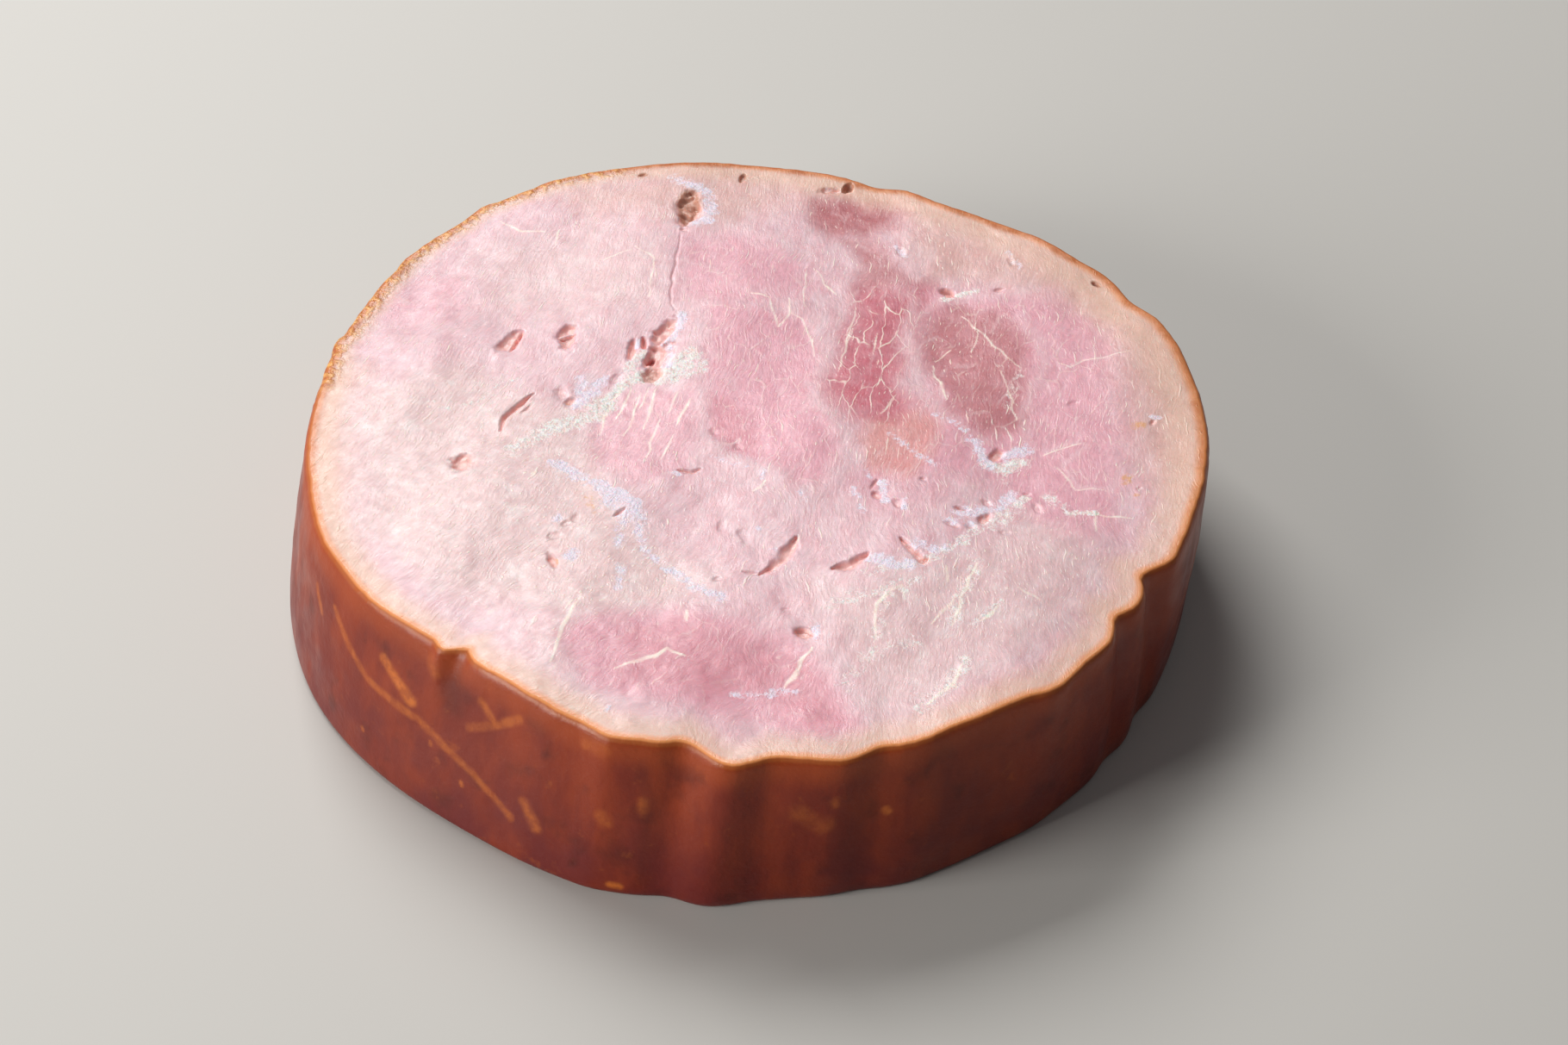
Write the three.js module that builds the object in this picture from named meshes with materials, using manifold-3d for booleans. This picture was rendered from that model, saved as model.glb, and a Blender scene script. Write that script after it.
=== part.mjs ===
// A thick round slice of boneless smoked ham, lying on one cut face with the other cut face up.
// Millimetres, +Z up. The origin is the middle of the slice's box, on the surface that it lies on.

import * as THREE from 'three';
import { mergeVertices } from 'three/addons/utils/BufferGeometryUtils.js';
import Module from 'manifold-3d';

const wasm = await Module();
wasm.setup();

// Driving sizes of the slice
const THICKNESS = 30;
const LEAN_X = -3.6; // the ham was cut a little askew, so the underside lies off the upper face
const LEAN_Y = -1.8;
const FLARE = 1.7; // how much further out the wall stands at the foot than at the rim
const BELLY = 0.5; // how much the wall swells at half height
const EDGE_INSET = 0.9; // the rounded edge between the rind and each cut face
const EDGE_HEIGHT = 1.6;

// Radius of the rim round the middle of the upper face, at even steps of angle from +X
const RIM_RADII = [
  74.7, 75.1, 72.8, 70.8, 73.0, 75.8, 78.9, 78.4, 75.7,
  74.8, 74.6, 73.0, 71.6, 72.6, 74.6, 73.8, 73.9, 73.3,
];

// Ridges (+) and dents (-) of the rind: angle and half width in degrees, size at the rim and at the foot,
// and how fast the rim's size fades downwards
const RIND_SWELLS = [
  { at: 28, half: 2.8, rim: -1.0, foot: -0.6, fade: 1 },
  { at: 35, half: 3.0, rim: 0.6, foot: 0.3, fade: 1 },
  { at: 68, half: 2.4, rim: 0.7, foot: 0.3, fade: 1 },
  { at: 73.5, half: 2.4, rim: -0.6, foot: -0.4, fade: 1 },
  { at: 129.5, half: 2.6, rim: 1.0, foot: 0.4, fade: 1 },
  { at: 162, half: 1.6, rim: 0.8, foot: 0.0, fade: 5 },
  { at: 210, half: 13, rim: 0.0, foot: 0.4, fade: 1 },
  { at: 226, half: 1.2, rim: 1.3, foot: 0.0, fade: 6 },
  { at: 228.6, half: 1.3, rim: -1.3, foot: 0.0, fade: 7 },
  { at: 228, half: 15, rim: -3.0, foot: 0.0, fade: 1 },
  { at: 250, half: 14, rim: 0.0, foot: 1.6, fade: 1 },
  { at: 252.5, half: 3.0, rim: 1.0, foot: 0.3, fade: 1 },
  { at: 261.5, half: 2.6, rim: -1.4, foot: -0.6, fade: 1 },
  { at: 267, half: 3.0, rim: 1.8, foot: 0.8, fade: 1 },
  { at: 272.5, half: 2.0, rim: -0.5, foot: -0.2, fade: 1 },
  { at: 279, half: 8, rim: 0.0, foot: -1.6, fade: 1 },
  { at: 280, half: 2.6, rim: 0.7, foot: 0.3, fade: 1 },
  { at: 285, half: 2.2, rim: -0.7, foot: -0.3, fade: 1 },
  { at: 291, half: 2.2, rim: 0.2, foot: 0.2, fade: 1 },
  { at: 308, half: 3.4, rim: 1.4, foot: 0.4, fade: 1 },
  { at: 322.8, half: 2.6, rim: -2.6, foot: -0.8, fade: 1 },
  { at: 327, half: 1.8, rim: -0.7, foot: 0.0, fade: 1 },
  { at: 331.3, half: 2.9, rim: -3.4, foot: -1.0, fade: 1 },
];

// Low waves of the upper cut face: height, length and direction in degrees
const FACE_WAVES = [
  { height: 0.3, length: 62, turn: 25, phase: 0.6 },
  { height: 0.22, length: 38, turn: 110, phase: 2.1 },
  { height: 0.14, length: 23, turn: 160, phase: 4.0 },
];

// Share of the height from which the rind's points move up and down with the waves
const WAVE_FROM = 0.7;

// Pits in the upper face: middle, length, width and depth, and the turn of the length from +X in degrees
const PITS = [
  { x: -43.3, y: 24.2, length: 7.4, width: 2.6, depth: 1.0, turn: 60 },
  { x: -42.0, y: 24.4, length: 5.6, width: 1.1, depth: 1.8, turn: 72 },
  { x: -33.2, y: 25.4, length: 5.9, width: 3.1, depth: 1.3, turn: 84 },
  { x: -49.3, y: -7.4, length: 4.6, width: 3.9, depth: 1.3, turn: 70 },
  { x: -17.4, y: 20.5, length: 8.0, width: 5.4, depth: 1.4, turn: 62 },
  { x: -18.6, y: 19.6, length: 2.8, width: 1.8, depth: 2.8, turn: 60 },
  { x: -16.6, y: 26.4, length: 8.6, width: 3.0, depth: 1.5, turn: 68 },
  { x: -18.0, y: 16.0, length: 5.0, width: 3.6, depth: 1.3, turn: 60 },
  { x: -19.9, y: 23.2, length: 4.0, width: 1.1, depth: 1.7, turn: 96 },
  { x: -22.0, y: 22.0, length: 5.0, width: 1.7, depth: 1.3, turn: 82 },
  { x: -12.9, y: 61.3, length: 10.4, width: 4.3, depth: 1.8, turn: 84 },
  { x: 16, y: 68.4, length: 3.4, width: 2.0, depth: 1.7, turn: 60 },
  { x: 12.6, y: 67.4, length: 4.6, width: 1.8, depth: 0.8, turn: 8 },
  { x: -3.3, y: 70.9, length: 2.8, width: 1.1, depth: 1.0, turn: 70 },
  { x: 59.4, y: 39.9, length: 2.2, width: 1.1, depth: 0.9, turn: 128 },
  { x: 33.0, y: 38.0, length: 3.2, width: 2.2, depth: 1.5, turn: 140 },
  { x: 7.3, y: -47.1, length: 3.4, width: 2.2, depth: 1.2, turn: 160 },
  { x: 39.7, y: -4.8, length: 3.6, width: 2.2, depth: 1.0, turn: 60 },
  { x: 33.4, y: -18.6, length: 2.8, width: 1.1, depth: 0.8, turn: -14 },
  { x: 37.0, y: -20.9, length: 2.8, width: 1.8, depth: 0.9, turn: 60 },
  { x: -32.9, y: -31.0, length: 4.4, width: 1.5, depth: 0.9, turn: 112 },
];

// Cracks and slits between the muscles: the points of the path, the widest width, and the depth
const CRACKS = [
  {
    path: [[-14.3, 55.6], [-14.7, 50.2], [-15.1, 45.8], [-15.6, 41.4], [-15.7, 36.3], [-14.8, 31]],
    width: 0.7,
    depth: 0.8,
  },
  {
    path: [[-38.3, 10.1], [-39.8, 8.3], [-41.5, 6.3], [-42.7, 4.4], [-43.3, 2.4], [-43.5, 0.8]],
    width: 1.2,
    depth: 1.1,
  },
  { path: [[6.1, -25.3], [5.7, -27.5], [4.2, -30.1], [2.5, -32.2], [0.3, -34.0]], width: 2.4, depth: 1.0 },
  { path: [[12.3, -32.9], [15.1, -32.2], [17.8, -29.3]], width: 2.2, depth: 1.1 },
  { path: [[23.4, -26.1], [24.8, -29.0], [26.5, -31.5], [27.6, -31.0]], width: 1.7, depth: 1.0 },
];

// Fineness of the mesh
const SECTORS = 180;
const UPPER_FACE_SHARES = [0, 0.2, 0.4, 0.6, 0.8, 0.93];
const UNDERSIDE_SHARES = [0, 0.6];
const WALL_STEPS = 5;
const EDGE_STEPS = 2;
const PIT_DETAIL = 2;
const CRACK_STEPS = 8;

const PIT_LUMPS = 0.16; // how uneven a pit's wall is, as a share of its size
const TOOL_HEADROOM = 3; // how far a crack's tool stands above the face that it cuts
const FULL_TURN = 2 * Math.PI;
const NOMINAL_RADIUS = 75;

const MEAT_COLOUR = new THREE.Color('#dfa8a4');
const RIND_COLOUR = new THREE.Color('#7d3220');

// A smooth closed curve through values at even steps of a full turn
function smoothRing(values, angle) {
  const place = (angle / FULL_TURN) * values.length;
  const index = Math.floor(place);
  const share = place - index;
  const [a, b, c, d] = [-1, 0, 1, 2].map((step) => values.at((index + step) % values.length));
  const cubic = 3 * (b - c) + d - a;
  const square = 2 * a - 5 * b + 4 * c - d;
  return b + 0.5 * share * (c - a + share * (square + share * cubic));
}

// Radius of the rind at an angle and a share of the height: 0 at the foot, 1 at the rim
function rindRadius(angle, up) {
  let radius = smoothRing(RIM_RADII, angle) + FLARE * (1 - up) + BELLY * Math.sin(Math.PI * up);
  for (const swell of RIND_SWELLS) {
    const off = THREE.MathUtils.euclideanModulo(THREE.MathUtils.radToDeg(angle) - swell.at + 180, 360) - 180;
    radius += THREE.MathUtils.lerp(swell.foot, swell.rim, up ** swell.fade) * Math.exp(-((off / swell.half) ** 2));
  }
  return radius;
}

function faceWave(x, y) {
  let height = 0;
  for (const wave of FACE_WAVES) {
    const turn = THREE.MathUtils.degToRad(wave.turn);
    const along = x * Math.cos(turn) + y * Math.sin(turn);
    height += wave.height * Math.sin((FULL_TURN * along) / wave.length + wave.phase);
  }
  return height;
}

// Half section of the plain round slice, from the middle of the underside to the middle of the upper face
function sliceProfile() {
  const underside = UNDERSIDE_SHARES.map((share) => new THREE.Vector2(share * NOMINAL_RADIUS, 0));
  const lowerEdge = [];
  for (let step = 0; step <= EDGE_STEPS; step++) {
    const bend = (step / EDGE_STEPS) * (Math.PI / 2);
    const out = NOMINAL_RADIUS + EDGE_INSET * Math.sin(bend);
    lowerEdge.push(new THREE.Vector2(out, EDGE_HEIGHT * (1 - Math.cos(bend))));
  }
  const wall = [];
  for (let step = 1; step < WALL_STEPS; step++) {
    const height = THREE.MathUtils.lerp(EDGE_HEIGHT, THICKNESS - EDGE_HEIGHT, step / WALL_STEPS);
    wall.push(new THREE.Vector2(NOMINAL_RADIUS + EDGE_INSET, height));
  }
  const upperEdge = lowerEdge.map((point) => new THREE.Vector2(point.x, THICKNESS - point.y)).reverse();
  const upperFace = UPPER_FACE_SHARES.map((share) => new THREE.Vector2(share * NOMINAL_RADIUS, THICKNESS)).reverse();
  return [...underside, ...lowerEdge, ...wall, ...upperEdge, ...upperFace];
}

// The slice before its pits: the round profile pushed out to the real outline
function sliceGeometry() {
  const slice = new THREE.LatheGeometry(sliceProfile(), SECTORS);
  slice.rotateX(Math.PI / 2);
  const position = slice.getAttribute('position');
  for (let i = 0; i < position.count; i++) {
    const z = position.getZ(i);
    const angle = THREE.MathUtils.euclideanModulo(Math.atan2(position.getY(i), position.getX(i)), FULL_TURN);
    const share = Math.hypot(position.getX(i), position.getY(i)) / NOMINAL_RADIUS;
    const up = z / THICKNESS;
    const radius = share * rindRadius(angle, up);
    const x = radius * Math.cos(angle);
    const y = radius * Math.sin(angle);
    const wave = faceWave(x, y) * THREE.MathUtils.smoothstep(up, WAVE_FROM, 1);
    position.setXYZ(i, x + LEAN_X * (1 - up), y + LEAN_Y * (1 - up), z + wave);
  }
  return slice;
}

// A lumpy ellipsoid, half sunk in the upper face
function pitTool(pit) {
  const tool = new THREE.IcosahedronGeometry(1, PIT_DETAIL);
  const position = tool.getAttribute('position');
  const point = new THREE.Vector3();
  for (let i = 0; i < position.count; i++) {
    point.fromBufferAttribute(position, i);
    const lump = Math.sin(3.1 * point.x + pit.x) * Math.cos(3.7 * point.y + pit.y);
    point.multiplyScalar(1 + PIT_LUMPS * lump);
    position.setXYZ(i, point.x, point.y, point.z);
  }
  tool.scale(pit.length / 2, pit.width / 2, pit.depth);
  tool.rotateZ(THREE.MathUtils.degToRad(pit.turn));
  tool.translate(pit.x, pit.y, THICKNESS + faceWave(pit.x, pit.y));
  return tool;
}

// A band round a curved path, pointed at both ends and cut straight down
function crackTool(crack) {
  const curve = new THREE.CatmullRomCurve3(crack.path.map(([x, y]) => new THREE.Vector3(x, y, 0)));
  const middle = curve.getPoint(0.5);
  const left = [];
  const right = [];
  for (let step = 1; step < CRACK_STEPS; step++) {
    const share = step / CRACK_STEPS;
    const point = curve.getPoint(share);
    const along = curve.getTangent(share);
    const reach = (crack.width / 2) * Math.sqrt(Math.sin(Math.PI * share));
    left.push(new THREE.Vector2(point.x - along.y * reach, point.y + along.x * reach));
    right.unshift(new THREE.Vector2(point.x + along.y * reach, point.y - along.x * reach));
  }
  const outline = new THREE.Shape([curve.getPoint(0), ...left, curve.getPoint(1), ...right]);
  const tool = new THREE.ExtrudeGeometry(outline, { depth: crack.depth + TOOL_HEADROOM, bevelEnabled: false });
  tool.translate(0, 0, THICKNESS + faceWave(middle.x, middle.y) - crack.depth);
  return tool;
}

// A closed solid from a geometry whose shared corners are merged and whose collapsed triangles are dropped
function toSolid(geometry) {
  geometry.deleteAttribute('normal');
  geometry.deleteAttribute('uv');
  const merged = mergeVertices(geometry, 1e-3);
  const corners = merged.getIndex().array;
  const kept = [];
  for (let i = 0; i < corners.length; i += 3) {
    const [a, b, c] = corners.subarray(i, i + 3);
    if (a !== b && b !== c && c !== a) kept.push(a, b, c);
  }
  const vertProperties = new Float32Array(merged.getAttribute('position').array);
  return new wasm.Manifold(new wasm.Mesh({ numProp: 3, vertProperties, triVerts: new Uint32Array(kept) }));
}

function toGeometry(solid) {
  const { vertProperties, triVerts, numProp } = solid.getMesh();
  const geometry = new THREE.BufferGeometry();
  geometry.setAttribute('position', new THREE.BufferAttribute(vertProperties, numProp));
  geometry.setIndex(new THREE.BufferAttribute(triVerts, 1));
  return geometry;
}

// Pink meat on the cut faces, brown rind on the wall between them
function colourRind(geometry) {
  geometry.computeVertexNormals();
  const position = geometry.getAttribute('position');
  const normal = geometry.getAttribute('normal');
  const colours = [];
  for (let i = 0; i < position.count; i++) {
    const inWall = Math.hypot(position.getX(i), position.getY(i)) > 0.9 * NOMINAL_RADIUS;
    const colour = inWall && Math.abs(normal.getZ(i)) < 0.9 ? RIND_COLOUR : MEAT_COLOUR;
    colours.push(colour.r, colour.g, colour.b);
  }
  geometry.setAttribute('color', new THREE.Float32BufferAttribute(colours, 3));
}

// Moves the middle of the box to X = Y = 0 and its lowest point to Z = 0
function standOnOrigin(geometry) {
  geometry.computeBoundingBox();
  const { min, max } = geometry.boundingBox;
  geometry.translate(-(min.x + max.x) / 2, -(min.y + max.y) / 2, -min.z);
}

function smokedHam() {
  let solid = toSolid(sliceGeometry());
  for (const pit of PITS) solid = solid.subtract(toSolid(pitTool(pit)));
  for (const crack of CRACKS) solid = solid.subtract(toSolid(crackTool(crack)));
  const geometry = toGeometry(solid);
  colourRind(geometry);
  standOnOrigin(geometry);
  const material = new THREE.MeshStandardMaterial({ vertexColors: true, roughness: 0.45, metalness: 0 });
  const mesh = new THREE.Mesh(geometry, material);
  mesh.name = 'smoked_ham';
  return mesh;
}

const ham = new THREE.Group();
ham.add(smokedHam());

export default ham;
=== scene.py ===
import math

import bmesh
import bpy
import numpy as np
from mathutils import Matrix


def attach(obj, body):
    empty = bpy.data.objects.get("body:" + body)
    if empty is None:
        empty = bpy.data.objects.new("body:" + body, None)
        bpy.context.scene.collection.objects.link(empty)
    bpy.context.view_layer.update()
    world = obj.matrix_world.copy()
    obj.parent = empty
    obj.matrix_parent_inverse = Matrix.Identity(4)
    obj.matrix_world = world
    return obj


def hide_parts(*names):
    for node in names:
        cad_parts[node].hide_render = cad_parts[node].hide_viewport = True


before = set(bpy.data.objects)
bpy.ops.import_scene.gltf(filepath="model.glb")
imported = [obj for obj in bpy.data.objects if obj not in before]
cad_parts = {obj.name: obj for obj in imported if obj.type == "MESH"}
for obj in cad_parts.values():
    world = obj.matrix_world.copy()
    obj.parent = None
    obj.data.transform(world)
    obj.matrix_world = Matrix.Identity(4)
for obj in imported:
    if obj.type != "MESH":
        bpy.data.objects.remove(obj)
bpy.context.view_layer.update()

# The slice's shape is worked out in mm, round the middle of its upper face, and set in metres at the end
MM = 0.001

# Driving sizes, the same as those of the CAD solid
THICKNESS = 30.0
LEAN = (-3.6, -1.8)
FLARE = 1.7
BELLY = 0.5
EDGE_INSET = 0.9
EDGE_HEIGHT = 1.6
RIM_RADII = (
    74.7, 75.1, 72.8, 70.8, 73.0, 75.8, 78.9, 78.4, 75.7,
    74.8, 74.6, 73.0, 71.6, 72.6, 74.6, 73.8, 73.9, 73.3,
)

# Ridges (+) and dents (-) of the rind: angle and half width in degrees, size at the rim and at the foot,
# and how fast the rim's size fades downwards
RIND_SWELLS = (
    (28, 2.8, -1, -0.6, 1),
    (35, 3, 0.6, 0.3, 1),
    (68, 2.4, 0.7, 0.3, 1),
    (73.5, 2.4, -0.6, -0.4, 1),
    (129.5, 2.6, 1, 0.4, 1),
    (162, 1.6, 0.8, 0, 5),
    (210, 13, 0, 0.4, 1),
    (226, 1.2, 1.3, 0, 6),
    (228.6, 1.3, -1.3, 0, 7),
    (228, 15, -3, 0, 1),
    (250, 14, 0, 1.6, 1),
    (252.5, 3, 1, 0.3, 1),
    (261.5, 2.6, -1.4, -0.6, 1),
    (267, 3, 1.8, 0.8, 1),
    (272.5, 2, -0.5, -0.2, 1),
    (279, 8, 0, -1.6, 1),
    (280, 2.6, 0.7, 0.3, 1),
    (285, 2.2, -0.7, -0.3, 1),
    (291, 2.2, 0.2, 0.2, 1),
    (308, 3.4, 1.4, 0.4, 1),
    (322.8, 2.6, -2.6, -0.8, 1),
    (327, 1.8, -0.7, 0, 1),
    (331.3, 2.9, -3.4, -1, 1),
)

# Low waves of the upper cut face: height, length, direction in degrees, phase
FACE_WAVES = ((0.3, 62, 25, 0.6), (0.22, 38, 110, 2.1), (0.14, 23, 160, 4))

# Share of the height from which the rind's points move up and down with the waves
WAVE_FROM = 0.7

# Pits in the upper face: middle x, y, length, width, depth, and the turn of the length from +X in degrees
PITS = (
    (-43.3, 24.2, 7.4, 2.6, 1, 60),
    (-42, 24.4, 5.6, 1.1, 1.8, 72),
    (-33.2, 25.4, 5.9, 3.1, 1.3, 84),
    (-49.3, -7.4, 4.6, 3.9, 1.3, 70),
    (-17.4, 20.5, 8, 5.4, 1.4, 62),
    (-18.6, 19.6, 2.8, 1.8, 2.8, 60),
    (-16.6, 26.4, 8.6, 3, 1.5, 68),
    (-18, 16, 5, 3.6, 1.3, 60),
    (-19.9, 23.2, 4, 1.1, 1.7, 96),
    (-22, 22, 5, 1.7, 1.3, 82),
    (-12.9, 61.3, 10.4, 4.3, 1.8, 84),
    (16, 68.4, 3.4, 2, 1.7, 60),
    (12.6, 67.4, 4.6, 1.8, 0.8, 8),
    (-3.3, 70.9, 2.8, 1.1, 1, 70),
    (59.4, 39.9, 2.2, 1.1, 0.9, 128),
    (33, 38, 3.2, 2.2, 1.5, 140),
    (7.3, -47.1, 3.4, 2.2, 1.2, 160),
    (39.7, -4.8, 3.6, 2.2, 1, 60),
    (33.4, -18.6, 2.8, 1.1, 0.8, -14),
    (37, -20.9, 2.8, 1.8, 0.9, 60),
    (-32.9, -31, 4.4, 1.5, 0.9, 112),
)

# Small pits that only the visual mesh has, in the same form
SMALL_PITS = (
    (-21.7, 71.2, 1.6, 0.8, 0.5, 20),
    (-33.6, 10.4, 4, 2.6, 0.4, 100),
    (-32, 8.6, 2.6, 2, 0.6, 30),
    (-24.5, 14.5, 2.6, 1.8, 0.3, 60),
    (42.2, 38.4, 2.4, 1, 0.4, 8),
    (27.3, -11.4, 1.2, 1, 0.4, 0),
    (19.5, -15.2, 2.6, 1.4, 0.6, 110),
    (22.9, -17.4, 2.8, 1.6, 0.4, 120),
    (66.4, 2.8, 1.6, 1, 0.5, 60),
    (62.8, -13.7, 0.9, 0.8, 0.3, 0),
    (44.2, -14.6, 1.4, 1, 0.3, 0),
    (37.4, -16.9, 2.4, 1.4, 0.4, -50),
    (31.6, -22.6, 3.2, 1.3, 0.4, -35),
    (34.6, -23, 1.6, 1.2, 0.35, -40),
    (4.6, -42.1, 1.6, 1.2, 0.2, 0),
    (-31.1, -22.2, 2, 1.5, 0.25, 40),
    (-29.8, -21, 2.2, 1.6, 0.25, 60),
    (-32.9, -25, 2.6, 2, 0.25, 30),
    (40.1, -24.4, 2.4, 1.4, 0.25, 0),
    (-6.5, -35, 1.8, 1.4, 0.3, 0),
    (25.2, 49, 2.8, 1.6, 0.3, 100),
    (44.6, 46, 2.4, 1.4, 0.25, 110),
    (-5.8, -22.4, 3.6, 1.6, 0.22, 80),
    (-2.3, -25, 3.6, 1.8, 0.22, 110),
    (-7.6, 0.4, 2.2, 1.4, 0.2, 110),
    (-3.4, -3.4, 1.8, 1.4, 0.2, 150),
    (53.4, 8, 2.4, 1.2, 0.2, 30),
    (45.8, -18.4, 3.4, 1.4, 0.25, 110),
)

# Ridges left standing inside the pits: path, width, share of the pit that they fill
TONGUES = (
    (((-22.2, 17.6), (-20.8, 19.6), (-19.8, 21.6)), 1.9, 1),
    (((-21.1, 22.4), (-20.9, 24.4)), 1, 0.9),
    (((-14.4, 19), (-15, 16.8)), 2.2, 0.9),
    (((-34.4, 25.3), (-31.6, 26.2)), 0.5, 0.8),
    (((-13.9, 61.5), (-12.6, 60)), 1.6, 0.4),
    (((-11.6, 58.8), (-11.2, 60.2)), 1, 0.6),
)

# Cracks and slits between the muscles: path, widest width, depth
CRACKS = (
    (((-14.3, 55.6), (-14.7, 50.2), (-15.1, 45.8), (-15.6, 41.4), (-15.7, 36.3), (-14.8, 31)), 0.5, 0.3),
    (((-38.3, 10.1), (-39.8, 8.3), (-41.5, 6.3), (-42.7, 4.4), (-43.3, 2.4), (-43.5, 0.8)), 1.2, 1.1),
    (((6.1, -25.3), (5.7, -27.5), (4.2, -30.1), (2.5, -32.2), (0.3, -34)), 2.4, 1),
    (((12.3, -32.9), (15.1, -32.2), (17.8, -29.3)), 2.2, 1.1),
    (((23.4, -26.1), (24.8, -29), (26.5, -31.5), (27.6, -31)), 1.7, 1),
)

# Finer cracks that only the visual mesh has, in the same form
FINE_CRACKS = (
    (((-38.1, 7.7), (-39.8, 5.7)), 0.5, 0.4),
    (((19.7, -11.6), (18.4, -13.7)), 0.7, 0.5),
    (((-23.6, -20.4), (-21.6, -18.4)), 1, 0.8),
    (((-13.3, -9), (-11, -9.7), (-9.5, -8.8)), 1.1, 0.6),
    (((0.3, -34), (-2.2, -33.3)), 1, 0.5),
)

# Cream fat along the seams between the muscles: path, width, amount
FAT_SEAMS = (
    (((-19.5, 15), (-22.3, 13.9), (-25.3, 10.3), (-27.2, 7.5)), 2.6, 1),
    (((-26, 9), (-28.4, 5.1), (-31, 3.2), (-34.8, 2)), 4.4, 1),
    (((-34, 2), (-37.2, -1.1), (-41.5, -4)), 3.4, 0.7),
    (((-22.4, 17.2), (-20.8, 19.6), (-19.8, 21.4)), 2.2, 0.9),
    (((-15.5, 14.6), (-13.6, 17.6), (-11.6, 20.6)), 4.6, 1),
    (((-12, 15.6), (-9.8, 17.8)), 3.2, 0.7),
    (((43.8, -15.8), (42.5, -17.8), (39.4, -21.7), (35.6, -23.9), (29.4, -29.7), (24, -32.6)), 2.8, 0.6),
    (((24, -32.8), (16, -34.4)), 2.4, 0.4),
    (((37.6, -7.6), (40.6, -8.6), (44.2, -6.6)), 2.4, 0.9),
    (((40.6, -8.6), (41.2, -13)), 1.8, 0.5),
    (((32.3, 36), (35.5, 37.4), (38, 38.2)), 1.5, 0.8),
    (((45.4, 17), (43.4, 12), (41.6, 6)), 1.8, 0.25),
    (((50.4, -19.5), (55, -19.5)), 1.4, 0.8),
    (((47.6, -15), (49.9, -18)), 2.6, 0.6),
    (((-58.1, 9.6), (-56.5, 8.8), (-54.8, 6.8), (-52.1, 6.4)), 0.9, 0.6),
    (((-50.4, 7.2), (-47.1, 8.8), (-45.2, 12), (-43.5, 13.2), (-40.9, 14.4)), 0.9, 0.6),
    (((-2.5, 70.7), (2, 71.6)), 1.6, 0.6),
    (((22, -37), (20, -42), (18.9, -48)), 2.6, 0.4),
    (((35.4, -31.8), (32.3, -40.4), (30.8, -45.6)), 2.6, 0.5),
    (((38.6, -40.4), (34.6, -45.6)), 1.8, 0.45),
    (((32.6, -53.4), (30.3, -58.9), (25.3, -63.9)), 3, 0.5),
    (((12, -41), (19, -39), (27, -35)), 3.2, 0.4),
    (((14, -58), (18, -52), (25, -49)), 3.4, 0.35),
)

# Pale skins along the edges of the muscles: path, width, amount
SKINS = (
    (((-14.6, 47), (-9, 44.5), (-5, 40), (-2, 37), (2, 36.5), (5.4, 33)), 1, 0.6),
    (((17, 38), (14.2, 30), (12.4, 22), (10.2, 14), (9.2, 10), (12, 4), (15, -2), (17, -8)), 1.2, 0.5),
    (((27.4, 36), (25.6, 28), (26.6, 20), (27.2, 13), (29.6, 8), (31.2, 3)), 2, 0.7),
    (((27.6, 31), (31, 35), (36, 36.8), (42, 37), (49, 38.6)), 1.8, 0.6),
    (((45.6, 31), (48.6, 24), (49.4, 18), (46.6, 11), (44.6, 5), (45, -1)), 2.2, 0.6),
    (((49.8, 20.5), (52.5, 16.6), (56, 19), (64, 20)), 1, 0.5),
    (((31, 12), (31.4, 6), (35, 1), (38.6, -2)), 1.4, 0.6),
    (((30.4, 1), (28.4, -5), (24.6, -10), (19, -9)), 1.2, 0.5),
    (((-9.4, 30), (-8, 21), (-5.6, 15.4)), 1.1, 0.5),
    (((-9, 8), (-9.6, 0), (-6, -5.4), (0.8, -9.4)), 1.4, 0.6),
    (((48, -4.4), (52, -1.8), (55.4, -2.4), (50.6, -7.4), (53, -13), (58.4, -14)), 1.2, 0.7),
    (((58.4, -14), (60.4, -9), (58.4, -4)), 1.2, 0.5),
    (((-70, 26), (-60, 25), (-50, 21.5), (-38, 17)), 1.6, 0.4),
    (((28, 42), (25.6, 48), (26.4, 55)), 2, 0.5),
    (((8, 57), (9, 48), (14, 41), (17, 38)), 1.2, 0.4),
    (((60, -2), (66, -8), (68, -16)), 1.4, 0.3),
)

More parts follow.
